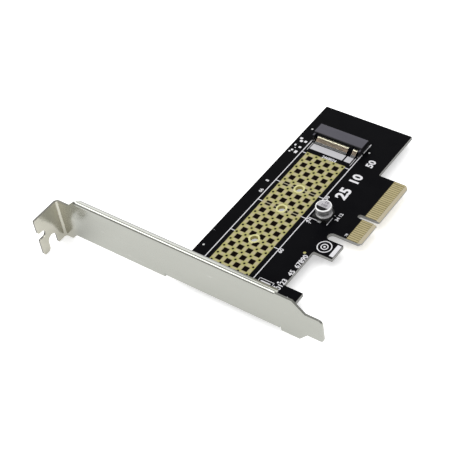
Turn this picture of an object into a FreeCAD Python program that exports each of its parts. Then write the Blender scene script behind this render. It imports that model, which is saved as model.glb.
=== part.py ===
import FreeCAD, Part
import os
import re

import Sketcher

# Adapter card: one module socket on a slotted board with a full-height bracket.
# Design frame in millimetres: X = 0 is the board edge on the screw-tab side, Y = 0 is the
# board edge furthest from the bracket, Z = 0 is the component face. Distances called
# "place", "start", "end" or "long" run from the far edge towards the bracket, along -Y.

os.makedirs("parts", exist_ok=True)
doc = FreeCAD.newDocument("adapter_card")
V = FreeCAD.Vector

SIZES = (
    # bare board
    ("board_thick", "1.57"),
    ("board_wide", "39.6"),
    ("finger_start", "24.82"),
    ("finger_long", "34.3"),
    ("finger_reach", "13.15"),
    ("finger_chamfer", "1.0"),
    ("bevel_long", "1.3"),
    ("bevel_deep", "0.47"),
    ("key_wide", "1.9"),
    ("key_deep", "8.55"),
    ("slot_wide", "3.48"),
    ("slot_root", "0.25"),
    ("foot_reach", "8.05"),
    ("foot_long", "7.7"),
    ("recess_long", "18.85"),
    ("tail_long", "14.89"),
    ("recess_round", "0.8"),
    ("finger_end", "=finger_start + finger_long"),
    ("finger_out", "=board_wide + finger_reach"),
    ("foot_out", "=board_wide + foot_reach"),
    ("slot_end", "=finger_end + slot_wide"),
    ("recess_start", "=slot_end + foot_long"),
    ("recess_end", "=recess_start + recess_long"),
    ("board_long", "=recess_end + tail_long"),
    # copper and print on the board
    ("foil_thick", "0.05"),
    ("print_thick", "0.03"),
    ("contact_wide", "0.7"),
    ("contact_long", "4.65"),
    ("contact_pitch", "1.0"),
    ("contact_key_gap", "1.5"),
    ("contacts_far", "21"),
    ("contacts_near", "11"),
    ("key_place", "=finger_start + contact_key_gap + 20 * contact_pitch + 0.65"),
    # module place: centre line, datum face of the socket and the four fixing holes
    ("module_centre", "16.97"),
    ("module_datum", "15.52"),
    ("fix_first", "30"),
    ("fix_second", "42"),
    ("fix_third", "60"),
    ("fix_fourth", "80"),
    ("fix_bore", "1.5"),
    ("fix_land", "2.2"),
    # heat pad lattice
    ("pad_start", "12.0"),
    ("lattice_pitch", "4.0"),
    ("lattice_margin", "0.87"),
    ("window_side", "2.3"),
    ("via_radius", "0.48"),
    ("window_columns", "4"),
    ("window_rows", "18"),
    ("lattice_half", "=lattice_pitch * window_columns / 2"),
    ("lattice_start", "=module_datum + pad_start"),
    ("lattice_end", "=lattice_start + lattice_pitch * window_rows"),
    # module socket
    ("socket_wide", "21.8"),
    ("socket_rear", "2.92"),
    ("roof_long", "5.3"),
    ("arm_extra", "1.4"),
    ("arm_thick", "0.75"),
    ("socket_high", "3.2"),
    ("roof_thick", "0.75"),
    ("floor_top", "1.25"),
    ("rear_wall", "0.9"),
    ("roof_chamfer", "0.2"),
    ("lip_deep", "0.9"),
    ("card_gap_side", "0.85"),
    ("key_offset", "6.125"),
    ("key_rib", "0.95"),
    ("pin_pitch", "0.5"),
    ("pin_wide", "0.22"),
    ("pin_thick", "0.15"),
    ("pin_side_gap", "0.04"),
    ("pin_slot_floor", "0.4"),
    ("pin_slot_deep", "0.4"),
    ("pin_foot", "0.9"),
    ("lower_pins_first", "29"),
    ("lower_pins_last", "4"),
    ("upper_pins_first", "29"),
    ("upper_pins_last", "5"),
    ("hold_thick", "0.2"),
    ("hold_foot", "0.7"),
    ("hold_high", "1.3"),
    ("land_margin", "0.15"),
    ("socket_half", "=socket_wide / 2"),
    ("socket_left", "=module_centre - socket_half"),
    ("socket_right", "=module_centre + socket_half"),
    ("socket_back", "=module_datum - socket_rear"),
    ("roof_end", "=socket_back + roof_long"),
    ("arm_end", "=roof_end + arm_extra"),
    ("roof_under", "=socket_high - roof_thick"),
    ("cavity_back", "=socket_back + rear_wall"),
    ("cavity_half", "=socket_half - card_gap_side"),
    ("slot_half", "=pin_wide / 2 + pin_side_gap"),
    ("slot_top", "=roof_under + pin_slot_deep"),
    ("slot_front", "=roof_end - lip_deep"),
    ("riser_back", "=socket_back + 0.35"),
    ("lower_first", "=module_centre - 18 * pin_pitch"),
    ("lower_resume", "=module_centre + 15 * pin_pitch"),
    ("upper_first", "=module_centre - 18.5 * pin_pitch"),
    ("upper_resume", "=module_centre + 14.5 * pin_pitch"),
    ("lower_foot", "=roof_end + 2.1"),
    ("foot_out_low", "=lower_foot + pin_foot"),
    ("upper_foot", "=socket_back - 0.2 - pin_foot"),
    # round capacitor
    ("can_across", "33.2"),
    ("can_place", "52.8"),
    ("can_radius", "3.15"),
    ("can_top", "5.2"),
    ("can_crown", "0.35"),
    ("crimp_deep", "0.25"),
    ("crimp_place", "2.15"),
    ("crimp_half", "0.25"),
    ("can_clearance", "0.03"),
    ("base_side", "6.6"),
    ("base_high", "1.3"),
    ("base_seat", "0.9"),
    ("base_chamfer", "1.3"),
    ("lead_wide", "0.8"),
    ("lead_thick", "0.2"),
    ("lead_reach", "0.6"),
    ("lead_root", "0.8"),
    # bracket
    ("sheet_thick", "0.86"),
    ("board_edge_gap", "0.3"),
    ("plate_below", "2.75"),
    ("plate_top", "16.05"),
    ("tab_below", "5.52"),
    ("tab_top", "12.9"),
    ("tab_reach", "52.1"),
    ("tab_deep", "12.7"),
    ("tab_bend", "1.0"),
    ("neck_low_run", "3.5"),
    ("neck_high_run", "5.57"),
    ("neck_high_slope", "3.23"),
    ("tongue_reach", "27.46"),
    ("tongue_low", "1.1"),
    ("tongue_top", "11.7"),
    ("tongue_round", "1.7"),
    ("shoulder_low", "17.17"),
    ("shoulder_low_slope", "3.51"),
    ("shoulder_top", "15.65"),
    ("shoulder_top_slope", "4.95"),
    ("flange_left", "42.5"),
    ("flange_right", "8.5"),
    ("flange_flat", "2.0"),
    ("flange_droop", "35"),
    ("flange_round", "0.9"),
    ("bend_out", "1.1"),
    ("ear_left", "1.6"),
    ("ear_right", "8.4"),
    ("ear_strip", "3.0"),
    ("ear_long", "9.6"),
    ("ear_half", "3.8"),
    ("ear_round", "2.2"),
    ("relief_wide", "1.0"),
    ("relief_high", "1.5"),
    ("slot_centre", "6.6"),
    ("slot_radius", "2.21"),
    ("slot_top_rise", "0.7"),
    ("notch_low", "2.85"),
    ("notch_high", "2.95"),
    ("notch_deep", "3.7"),
    ("finger_round", "1.6"),
    ("lobe_round", "1.2"),
    ("tab_corner", "0.5"),
    ("slot_corner", "0.7"),
    ("plate_inner", "=board_long + board_edge_gap"),
    ("plate_outer", "=plate_inner + sheet_thick"),
    ("tab_outer", "=tab_reach + sheet_thick"),
    ("tab_free", "=plate_outer + tab_deep"),
    ("tongue_end", "=board_wide + tongue_reach"),
    ("slot_place", "=plate_outer + slot_centre"),
    ("slot_round_z", "=slot_top_rise - slot_radius"),
    ("notch_half", "=notch_high / 2"),
    ("notch_mid", "=notch_low + notch_half"),
    ("notch_root", "=tab_free - notch_deep + notch_half"),
    ("bend_in", "=bend_out - sheet_thick"),
    ("bend_mid", "=plate_outer - bend_out"),
    ("flange_base", "=plate_top - bend_out"),
    ("tip_place", "=bend_mid - bend_out * sin(flange_droop) - flange_flat * cos(flange_droop)"),
    ("tip_high", "=flange_base + bend_out * cos(flange_droop) - flange_flat * sin(flange_droop)"),
    ("tip_in_place", "=tip_place + sheet_thick * sin(flange_droop)"),
    ("tip_in_high", "=tip_high - sheet_thick * cos(flange_droop)"),
    ("ear_under", "=board_thick + sheet_thick"),
    ("ear_root", "=plate_inner - ear_strip"),
    ("ear_tip", "=plate_inner - ear_long"),
    ("flange_end", "=board_wide + flange_right"),
    ("ear_end", "=board_wide + ear_right"),
    # bracket screws
    ("screw_inset", "3.7"),
    ("screw_across", "4.1"),
    ("screw_back", "5.84"),
    ("screw_shank", "1.45"),
    ("screw_hole_gap", "0.15"),
    ("screw_thread_gap", "0.05"),
    ("screw_head", "2.75"),
    ("head_high", "1.8"),
    ("head_round", "0.8"),
    ("screw_long", "4.0"),
    ("drive_wide", "0.6"),
    ("drive_long", "2.6"),
    ("drive_deep", "0.9"),
    ("screw_far", "=board_wide + screw_across"),
    ("screw_place", "=plate_inner - screw_back"),
    # the part stands with the centre of its box above the origin
    ("shift_x", "=(tab_outer - tongue_end) / 2"),
    ("shift_y", "=tab_free / 2"),
    ("shift_z", "=tab_below"),
)

sheet = doc.addObject("Spreadsheet::Sheet", "Sizes")
for row, (alias, value) in enumerate(SIZES, 1):
    sheet.set("A%d" % row, alias)
    sheet.set("B%d" % row, value)
    sheet.setAlias("B%d" % row, alias)
doc.recompute()

ALIAS = re.compile(r"[a-z][a-z_]+\b(?!\()")
bodies = []


def size(alias):
    return float(getattr(sheet, alias))


def bound(expression):
    """Point each size name of an expression at the sheet."""
    return ALIAS.sub(lambda found: "Sizes." + found.group(0), expression)


def new_body(label):
    body = doc.addObject("PartDesign::Body", label)
    body.Label = label
    for axis in "xyz":
        body.setExpression("Placement.Base." + axis, bound("shift_") + axis)
    bodies.append(body)
    return body


def datum(body, role):
    return [item for item in body.Origin.OriginFeatures if item.Role == role][0]


def new_sketch(body, name, plane, lift, across):
    sketch = body.newObject("Sketcher::SketchObject", name)
    sketch.AttachmentSupport = [(datum(body, plane), "")]
    sketch.MapMode = "FlatFace"
    sketch.setExpression("AttachmentOffset.Base.z", bound(lift))
    sketch.setExpression("AttachmentOffset.Base.x", bound(across))
    return sketch


def tie(sketch, constraints, expressions):
    """Add driving constraints and bind each to its expression."""
    first = sketch.ConstraintCount
    sketch.addConstraint(constraints)
    for index, expression in enumerate(expressions):
        sketch.setExpression("Constraints[%d]" % (first + index), bound(expression))


def outline(body, name, plane, *loops, lift="0", across="0"):
    """Closed polygons, each corner a pair of expressions."""
    sketch = new_sketch(body, name, plane, lift, across)
    lines, joins, drives, expressions = [], [], [], []
    for loop in loops:
        start, count = len(lines), len(loop)
        turns = [FreeCAD.Rotation(V(0, 0, 1), 360.0 * corner / count) for corner in range(count)]
        spots = [V(60, 50, 0) + turn.multVec(V(30, 0, 0)) for turn in turns]
        for corner in range(count):
            lines.append(Part.LineSegment(spots[corner], spots[(corner + 1) % count]))
            joins.append(Sketcher.Constraint("Coincident", start + corner, 2, start + (corner + 1) % count, 1))
            drives.append(Sketcher.Constraint("DistanceX", -1, 1, start + corner, 1, spots[corner].x))
            drives.append(Sketcher.Constraint("DistanceY", -1, 1, start + corner, 1, spots[corner].y))
            expressions.extend(loop[corner])
    sketch.addGeometry(lines)
    sketch.addConstraint(joins)
    tie(sketch, drives, expressions)
    return sketch


def circles(body, name, plane, *rings, lift="0"):
    """Circles, each an (x, y, radius) triple of expressions."""
    sketch = new_sketch(body, name, plane, lift, "0")
    rounds, drives, expressions = [], [], []
    for number, ring in enumerate(rings):
        rounds.append(Part.Circle(V(10, 10, 0), V(0, 0, 1), 1))
        drives.append(Sketcher.Constraint("DistanceX", -1, 1, number, 3, 10))
        drives.append(Sketcher.Constraint("DistanceY", -1, 1, number, 3, 10))
        drives.append(Sketcher.Constraint("Radius", number, 1))
        expressions.extend(ring)
    sketch.addGeometry(rounds)
    tie(sketch, drives, expressions)
    return sketch


def box_loop(left, right, low, high):
    return ((left, low), (right, low), (right, high), (left, high))


def polygon(sides, across, place, radius):
    """Corners of a regular polygon about a centre."""
    turns = [360.0 * (corner + 0.5) / sides for corner in range(sides)]
    return [("%s + %s * cos(%g)" % (across, radius, turn), "%s + %s * sin(%g)" % (place, radius, turn))
            for turn in turns]


def advance(body, feature):
    body.Tip = feature
    return feature


def pad(body, sketch, length, back=False):
    feature = body.newObject("PartDesign::Pad", sketch.Name + "_pad")
    feature.Profile = sketch
    feature.setExpression("Length", bound(length))
    feature.Reversed = back
    return advance(body, feature)


def pocket(body, sketch, depth=None, back=False):
    """A cut of one depth, or through everything on both sides of the sketch."""
    feature = body.newObject("PartDesign::Pocket", sketch.Name + "_cut")
    feature.Profile = sketch
    feature.Reversed = back
    if depth is None:
        feature.SideType = "Symmetric"
        feature.Type = "ThroughAll"
    else:
        feature.setExpression("Length", bound(depth))
    return advance(body, feature)


def hinge(sketch, start, end):
    """A construction line to turn a profile about."""
    line = sketch.addGeometry(Part.LineSegment(V(10, 5, 0), V(20, 5, 0)), True)
    drives = [Sketcher.Constraint(kind, -1, 1, line, point, at)
              for point, place in ((1, (10, 5)), (2, (20, 5)))
              for kind, at in zip(("DistanceX", "DistanceY"), place)]
    tie(sketch, drives, start + end)
    return "Axis0"


def revolve(body, sketch, axis="V_Axis", angle="360"):
    feature = body.newObject("PartDesign::Revolution", sketch.Name + "_turn")
    feature.Profile = sketch
    feature.ReferenceAxis = (sketch, [axis])
    feature.setExpression("Angle", bound(angle))
    return advance(body, feature)


def repeat(body, feature, axis, step, count, back=False, second=None):
    """Copies in a row, or in a grid when a second (axis, step, count) is given."""
    row = body.newObject("PartDesign::LinearPattern", feature.Name + "_row")
    row.Originals = [feature]
    row.Direction = (datum(body, axis), [""])
    row.Mode = "Spacing"
    row.Reversed = back
    row.setExpression("Offset", bound(step))
    row.setExpression("Occurrences", bound(count))
    if second:
        row.Direction2 = (datum(body, second[0]), [""])
        row.Mode2 = "Spacing"
        row.Reversed2 = True
        row.setExpression("Offset2", bound(second[1]))
        row.setExpression("Occurrences2", bound(second[2]))
    return advance(body, row)


def edges_at(feature, x=None, y=None, z=None):
    """Names of the edges whose ends all lie at the given coordinates."""
    doc.recompute()
    names = []
    for number, edge in enumerate(feature.Shape.Edges, 1):
        ends = [vertex.Point for vertex in edge.Vertexes]
        near = [abs(getattr(end, axis) - value) < 0.001
                for end in ends
                for axis, value in (("x", x), ("y", y), ("z", z)) if value is not None]
        if len(ends) == 2 and all(near):
            names.append("Edge%d" % number)
    return names


def soften(body, kind, label, names, radius):
    """Round or chamfer the named edges of the tip."""
    carrier = body.Tip
    feature = body.newObject("PartDesign::" + kind, label)
    feature.Base = (carrier, names)
    feature.setExpression("Radius" if kind == "Fillet" else "Size", bound(radius))
    return advance(body, feature)


# --------------------------------------------------------------- circuit board
FIXES = ("first", "second", "third", "fourth")
fix_places = ["module_datum + fix_" + word for word in FIXES]


def fix_circles(radius, places=fix_places):
    return [("module_centre", "-(%s)" % place, radius) for place in places]


board = new_body("circuit_board")
pad(board, outline(board, "board_outline", "XY_Plane", (
    ("0", "0"),
    ("board_wide", "0"),
    ("board_wide", "-finger_start"),
    ("finger_out", "-finger_start"),
    ("finger_out", "-finger_end"),
    ("foot_out", "-finger_end"),
    ("foot_out", "-recess_start"),
    ("board_wide", "-recess_start"),
    ("board_wide", "-recess_end"),
    ("foot_out", "-recess_end"),
    ("foot_out", "-board_long"),
    ("0", "-board_long"),
)), "board_thick", back=True)
doc.recompute()
finger_corners = (edges_at(board.Tip, x=size("finger_out"), y=-size("finger_start"))
                  + edges_at(board.Tip, x=size("finger_out"), y=-size("finger_end")))
soften(board, "Chamfer", "finger_corners", finger_corners, "finger_chamfer")
inner_corners = (edges_at(board.Tip, x=size("board_wide"), y=-size("finger_start"))
                 + edges_at(board.Tip, x=size("board_wide"), y=-size("recess_start"))
                 + edges_at(board.Tip, x=size("board_wide"), y=-size("recess_end")))
soften(board, "Fillet", "inner_corners", inner_corners, "recess_round")
pocket(board, outline(board, "finger_bevels", "XZ_Plane", (
    ("finger_out - bevel_long", "0"),
    ("finger_out", "0"),
    ("finger_out", "-bevel_deep"),
), (
    ("finger_out - bevel_long", "-board_thick"),
    ("finger_out", "-board_thick"),
    ("finger_out", "-board_thick + bevel_deep"),
)))
pocket(board, outline(board, "key_slot", "XY_Plane", box_loop(
    "finger_out - key_deep + key_wide / 2", "finger_out + 1",
    "-key_place - key_wide / 2", "-key_place + key_wide / 2")))
pocket(board, circles(board, "key_root", "XY_Plane",
                      ("finger_out - key_deep + key_wide / 2", "-key_place", "key_wide / 2")))
pocket(board, outline(board, "latch_slot", "XY_Plane", box_loop(
    "board_wide + slot_root + slot_wide / 2", "finger_out + 1", "-slot_end", "-finger_end")))
pocket(board, circles(board, "latch_root", "XY_Plane",
                      ("board_wide + slot_root + slot_wide / 2", "-finger_end - slot_wide / 2",
                       "slot_wide / 2")))
pocket(board, circles(
    board, "fixing_holes", "XY_Plane",
    *fix_circles("fix_bore"),
    ("screw_inset", "-screw_place", "screw_shank + screw_hole_gap"),
    ("screw_far", "-screw_place", "screw_shank + screw_hole_gap")))

# --------------------------------------------------------- foils on the board
edge_left = "finger_out - bevel_long - contact_long"
edge_right = "finger_out - bevel_long"
for label, lift in (("edge_contacts_top", "0"),
                    ("edge_contacts_bottom", "-board_thick - foil_thick")):
    contacts = new_body(label)
    for side, place, count, back in (
            ("far", "key_place - contact_key_gap", "contacts_far", False),
            ("near", "key_place + contact_key_gap", "contacts_near", True)):
        strip = outline(contacts, "%s_%s" % (label, side), "XY_Plane", box_loop(
            edge_left, edge_right,
            "-(%s) - contact_wide / 2" % place, "-(%s) + contact_wide / 2" % place), lift=lift)
        repeat(contacts, pad(contacts, strip, "foil_thick"), "Y_Axis", "contact_pitch", count, back)



def wire_at(corners):
    return Part.makePolygon([V(*corner, 0) for corner in corners] + [V(*corners[0], 0)])


def square(across, place, half_x, half_y):
    return wire_at(((across - half_x, place - half_y), (across + half_x, place - half_y),
                    (across + half_x, place + half_y), (across - half_x, place + half_y)))


def diamond(across, place, radius):
    return wire_at(((across - radius, place), (across, place - radius),
                    (across + radius, place), (across, place + radius)))


def lattice_foil():
    """The pad's copper lattice: square windows clipped by the hole lands, and via holes."""
    centre, pitch, half = size("module_centre"), size("lattice_pitch"), size("lattice_half")
    start, end, margin = size("lattice_start"), size("lattice_end"), size("lattice_margin")
    columns, rows = int(size("window_columns")), int(size("window_rows"))
    fixes = [size("module_datum") + size("fix_" + word) for word in FIXES]
    lands = [Part.Face(Part.Wire(Part.makeCircle(size("fix_land"), V(centre, -fix, 0)))) for fix in fixes]
    openings = [Part.Wire(Part.makeCircle(size("fix_bore"), V(centre, -fix, 0))) for fix in fixes]
    for row in range(rows):
        place = -start - (row + 0.5) * pitch
        for column in range(columns):
            across = centre - half + (column + 0.5) * pitch
            window = Part.Face(square(across, place, size("window_side") / 2, size("window_side") / 2))
            for fix, land in zip(fixes, lands):
                if abs(place + fix) < pitch:
                    window = window.cut(land)
            openings += [face.OuterWire for face in window.Faces]
    for row in range(rows + 1):
        place = -start - row * pitch
        for column in range(columns + 1):
            across = centre - half + column * pitch
            reach = size("fix_land") + size("via_radius")
            if all(V(across - centre, place + fix, 0).Length > reach for fix in fixes):
                openings.append(diamond(across, place, size("via_radius")))
    edge = square(centre, -(start + end) / 2, half + margin, (end - start) / 2 + margin)
    foil = Part.makeFace([edge] + openings, "Part::FaceMakerBullseye")
    return foil.extrude(V(0, 0, size("foil_thick")))


# so many openings are quickest and cleanest as one face with its inner outlines
heat_pad = doc.addObject("Part::Feature", "heat_pad")
heat_pad.Shape = lattice_foil()
for axis in "xyz":
    heat_pad.setExpression("Placement.Base." + axis, bound("shift_") + axis)
bodies.append(heat_pad)

fiducials = new_body("fiducials")
pad(fiducials, outline(fiducials, "fiducial_dots", "XY_Plane",
                       polygon(8, "2.5", "-14.4", "0.45"), polygon(8, "29.9", "-15.8", "0.45"),
                       polygon(8, "2.05", "-87.1", "0.45")), "foil_thick")

test_pad = new_body("test_pad")
pad(test_pad, outline(test_pad, "test_dot", "XY_Plane",
                      polygon(8, "board_wide - 2.3", "-recess_start - 2.1", "0.6")), "foil_thick")

# --------------------------------------------------------------- printed legend
legend = new_body("legend_lines")
line_left = "module_centre - socket_half - 0.02"
line_right = "module_centre + socket_half + 0.18"
pad_left = "module_centre - lattice_half - lattice_margin"
pad_right = "module_centre + lattice_half + lattice_margin"
legend_loops = [
    box_loop(line_left + " - 0.175", line_left + " + 0.175",
             "-module_datum - fix_fourth + 0.6", "-arm_end - hold_foot - land_margin - 0.1"),
    box_loop(line_right + " - 0.175", line_right + " + 0.175",
             "-module_datum - fix_fourth + 0.6", "-roof_end - 0.1"),
    box_loop(line_right + " - 0.175", line_right + " + 0.175",
             "-roof_end + 0.9", "-socket_back + 1.2"),
]
tick_places = ["lattice_start - 0.2"] + fix_places[:3]
for place in tick_places:
    legend_loops.append(box_loop(line_left + " + 0.175", pad_left,
                                 "-(%s) - 0.15" % place, "-(%s) + 0.15" % place))
    legend_loops.append(box_loop(pad_right, line_right + " - 0.175",
                                 "-(%s) - 0.15" % place, "-(%s) + 0.15" % place))
window_half = "window_side / 2"
for place in fix_places[:2]:
    for left, right in (
            ("module_centre - lattice_half + lattice_pitch / 2 - " + window_half,
             "module_centre - lattice_half + lattice_pitch / 2 + " + window_half),
            ("module_centre - lattice_pitch / 2 - " + window_half,
             "module_centre - fix_land - 0.05"),
            ("module_centre + fix_land + 0.05",
             "module_centre + lattice_pitch / 2 + " + window_half),
            ("module_centre + lattice_half - lattice_pitch / 2 - " + window_half,
             "module_centre + lattice_half - lattice_pitch / 2 + " + window_half)):
        legend_loops.append(box_loop(left, right, "-(%s) - 0.175" % place, "-(%s) + 0.175" % place))
legend_loops.append(box_loop("can_across - 4.7", "can_across - lead_wide - 0.1",
                             "-can_place - 3.75", "-can_place - 3.45"))
legend_loops.append(box_loop("can_across + 3.35", "can_across + 3.6",
                             "-can_place - 4.0", "-can_place + 0.3"))
for start in range(0, len(legend_loops), 3):
    pad(legend, outline(legend, "legend_part_%d" % start, "XY_Plane", *legend_loops[start:start + 3]),
        "print_thick")

blocks = new_body("legend_blocks")
block_far = "-foot_out_low - 0.4"
block_near = "-foot_out_low - 3.5"
pad(blocks, outline(
    blocks, "legend_fields", "XY_Plane",
    box_loop("lower_first - 0.2", "module_centre + key_offset - 0.35", block_near, block_far),
    box_loop("module_centre + key_offset + 0.35", "module_centre + 9.3", block_near, block_far),
    box_loop("lower_first - 0.85", "lower_first - 0.6", block_near + " - 1", block_far + " + 0.3"),
    box_loop("module_centre + 9.9", "module_centre + 10.15", block_near + " - 1",
             block_far + " + 0.3")), "print_thick")

# ---------------------------------------------------------------- module socket
housing = new_body("socket_housing")
pad(housing, outline(housing, "housing_side", "YZ_Plane", (
    ("-socket_back", "foil_thick"),
    ("-socket_back", "socket_high - roof_chamfer"),
    ("-socket_back - roof_chamfer", "socket_high"),
    ("-roof_end + roof_chamfer", "socket_high"),
    ("-roof_end", "socket_high - roof_chamfer"),
    ("-roof_end", "foil_thick"),
), lift="socket_left"), "socket_wide")
pad(housing, outline(
    housing, "housing_arms", "XY_Plane",
    box_loop("socket_left", "socket_left + arm_thick", "-arm_end", "-roof_end"),
    box_loop("socket_right - arm_thick", "socket_right", "-arm_end", "-roof_end"),
    lift="foil_thick"), "roof_under - foil_thick")
pocket(housing, outline(
    housing, "card_cavity", "XZ_Plane",
    box_loop("module_centre - cavity_half", "module_centre + key_offset - key_rib / 2",
             "floor_top", "roof_under"),
    box_loop("module_centre + key_offset + key_rib / 2", "module_centre + cavity_half",
             "floor_top", "roof_under"),
    lift="roof_end"), "roof_long - rear_wall")
for side, start, count in (("first", "lower_first", "lower_pins_first"),
                           ("last", "lower_resume", "lower_pins_last")):
    groove = outline(housing, "floor_groove_" + side, "XZ_Plane", box_loop(
        start + " - slot_half", start + " + slot_half", "pin_slot_floor", "floor_top"),
        lift="roof_end")
    repeat(housing, pocket(housing, groove, "roof_long - rear_wall"), "X_Axis", "pin_pitch", count)
pocket(housing, outline(
    housing, "roof_recess", "XY_Plane",
    box_loop("upper_first - pin_wide", "module_centre + key_offset - key_rib / 2 - pin_wide",
             "-slot_front", "-socket_back"),
    box_loop("upper_resume - pin_wide", "module_centre + cavity_half - pin_wide / 2",
             "-slot_front", "-socket_back"),
    lift="roof_under"), "pin_slot_deep", back=True)
for side, start, count in (("first", "upper_first", "upper_pins_first"),
                           ("last", "upper_resume", "upper_pins_last")):
    groove = outline(housing, "rear_groove_" + side, "XY_Plane", box_loop(
        start + " - slot_half", start + " + slot_half", "-riser_back", "-socket_back"),
        lift="foil_thick")
    repeat(housing, pocket(housing, groove, "slot_top - foil_thick", back=True),
           "X_Axis", "pin_pitch", count)

lower = new_body("socket_lower_contacts")
for side, start, count in (("first", "lower_first", "lower_pins_first"),
                           ("last", "lower_resume", "lower_pins_last")):
    blade = outline(lower, "lower_blade_" + side, "YZ_Plane", (
        ("-foot_out_low", "foil_thick"),
        ("-lower_foot", "foil_thick"),
        ("-roof_end - 0.28", "floor_top + 0.1"),
        ("-roof_end + 0.2", "floor_top + 0.1"),
        ("-roof_end + 1.1", "pin_slot_floor"),
        ("-roof_end + 3.6", "pin_slot_floor"),
        ("-roof_end + 3.6", "pin_slot_floor + pin_thick"),
        ("-roof_end + 1.18", "pin_slot_floor + pin_thick"),
        ("-roof_end + 0.26", "floor_top + 0.1 + pin_thick"),
        ("-roof_end - 0.35", "floor_top + 0.1 + pin_thick"),
        ("-lower_foot - 0.08", "foil_thick + pin_thick"),
        ("-foot_out_low", "foil_thick + pin_thick"),
    ), lift=start + " - pin_wide / 2")
    repeat(lower, pad(lower, blade, "pin_wide"), "X_Axis", "pin_pitch", count)

upper = new_body("socket_upper_contacts")
for side, start, count in (("first", "upper_first", "upper_pins_first"),
                           ("last", "upper_resume", "upper_pins_last")):
    blade = outline(upper, "upper_blade_" + side, "YZ_Plane", (
        ("-upper_foot", "foil_thick"),
        ("-riser_back", "foil_thick"),
        ("-riser_back", "slot_top - 0.05 - pin_thick"),
        ("-slot_front + 1.9", "slot_top - 0.05 - pin_thick"),
        ("-slot_front + 0.5", "roof_under - 0.3"),
        ("-slot_front + 0.4", "roof_under - 0.15"),
        ("-slot_front + 1.85", "slot_top - 0.05"),
        ("-riser_back + pin_thick", "slot_top - 0.05"),
        ("-riser_back + pin_thick", "foil_thick + pin_thick"),
        ("-upper_foot", "foil_thick + pin_thick"),
    ), lift=start + " - pin_wide / 2")
    repeat(upper, pad(upper, blade, "pin_wide"), "X_Axis", "pin_pitch", count)

holds = new_body("socket_hold_downs")
for side, start in (("left", "socket_left"), ("right", "socket_right - arm_thick")):
    pad(holds, outline(holds, "hold_" + side, "YZ_Plane", (
        ("-arm_end", "foil_thick"),
        ("-arm_end - hold_foot", "foil_thick"),
        ("-arm_end - hold_foot", "foil_thick + hold_thick"),
        ("-arm_end - hold_thick", "foil_thick + hold_thick"),
        ("-arm_end - hold_thick", "hold_high"),
        ("-arm_end", "hold_high"),
    ), lift=start), "arm_thick")

lands = new_body("socket_lands")
for side, start, count, far, near in (
        ("low_first", "lower_first", "lower_pins_first", "lower_foot - 0.1", "foot_out_low + 0.1"),
        ("low_last", "lower_resume", "lower_pins_last", "lower_foot - 0.1", "foot_out_low + 0.1"),
        ("up_first", "upper_first", "upper_pins_first", "upper_foot - 0.1", "socket_back + 0.1"),
        ("up_last", "upper_resume", "upper_pins_last", "upper_foot - 0.1", "socket_back + 0.1")):
    land = outline(lands, "land_" + side, "XY_Plane", box_loop(
        start + " - pin_wide / 2 - 0.03", start + " + pin_wide / 2 + 0.03",
        "-(%s)" % near, "-(%s)" % far))
    repeat(lands, pad(lands, land, "foil_thick"), "X_Axis", "pin_pitch", count)
pad(lands, outline(
    lands, "land_holds", "XY_Plane",
    box_loop("socket_left", "socket_left + arm_thick + land_margin",
             "-arm_end - hold_foot - land_margin", "-arm_end + land_margin"),
    box_loop("socket_right - arm_thick - land_margin", "socket_right",
             "-arm_end - hold_foot - land_margin", "-arm_end + land_margin")), "foil_thick")

# ------------------------------------------------------------------- capacitor
can = new_body("capacitor_can")
revolve(can, outline(can, "can_section", "XZ_Plane", (
    ("0", "base_seat"),
    ("can_radius", "base_seat"),
    ("can_radius", "crimp_place - crimp_half"),
    ("can_radius - crimp_deep", "crimp_place"),
    ("can_radius", "crimp_place + crimp_half"),
    ("can_radius", "can_top - can_crown"),
    ("can_radius - can_crown * 0.3", "can_top - can_crown * 0.3"),
    ("can_radius - can_crown", "can_top"),
    ("0", "can_top"),
), lift="can_place", across="can_across"))

base = new_body("capacitor_base")
pad(base, outline(base, "base_outline", "XY_Plane", (
    ("can_across - base_side / 2", "-can_place - base_side / 2"),
    ("can_across + base_side / 2", "-can_place - base_side / 2"),
    ("can_across + base_side / 2", "-can_place + base_side / 2 - base_chamfer"),
    ("can_across + base_side / 2 - base_chamfer", "-can_place + base_side / 2"),
    ("can_across - base_side / 2 + base_chamfer", "-can_place + base_side / 2"),
    ("can_across - base_side / 2", "-can_place + base_side / 2 - base_chamfer"),
), lift="foil_thick"), "base_high - foil_thick")
pocket(base, circles(base, "base_recess", "XY_Plane",
                     ("can_across", "-can_place", "can_radius + can_clearance"),
                     lift="base_high"), "base_high - base_seat")
lead_half = "(lead_wide / 2 + can_clearance)"
pocket(base, outline(
    base, "lead_channels", "XY_Plane",
    box_loop("can_across - " + lead_half, "can_across + " + lead_half,
             "-can_place + lead_root", "-can_place + base_side / 2"),
    box_loop("can_across - " + lead_half, "can_across + " + lead_half,
             "-can_place - base_side / 2", "-can_place - lead_root"),
    lift="foil_thick"), "lead_thick", back=True)

leads = new_body("capacitor_leads")
pad(leads, outline(
    leads, "lead_strips", "XY_Plane",
    box_loop("can_across - lead_wide / 2", "can_across + lead_wide / 2",
             "-can_place + lead_root", "-can_place + base_side / 2 + lead_reach"),
    box_loop("can_across - lead_wide / 2", "can_across + lead_wide / 2",
             "-can_place - base_side / 2 - lead_reach", "-can_place - lead_root"),
    lift="foil_thick"), "lead_thick")

can_lands = new_body("capacitor_lands")
pad(can_lands, outline(
    can_lands, "can_land_outline", "XY_Plane",
    box_loop("can_across - lead_wide", "can_across + lead_wide",
             "-can_place + lead_root + 0.8", "-can_place + base_side / 2 + lead_reach + 0.3"),
    box_loop("can_across - lead_wide", "can_across + lead_wide",
             "-can_place - base_side / 2 - lead_reach - 0.3", "-can_place - lead_root - 0.8")),
    "foil_thick")

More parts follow.
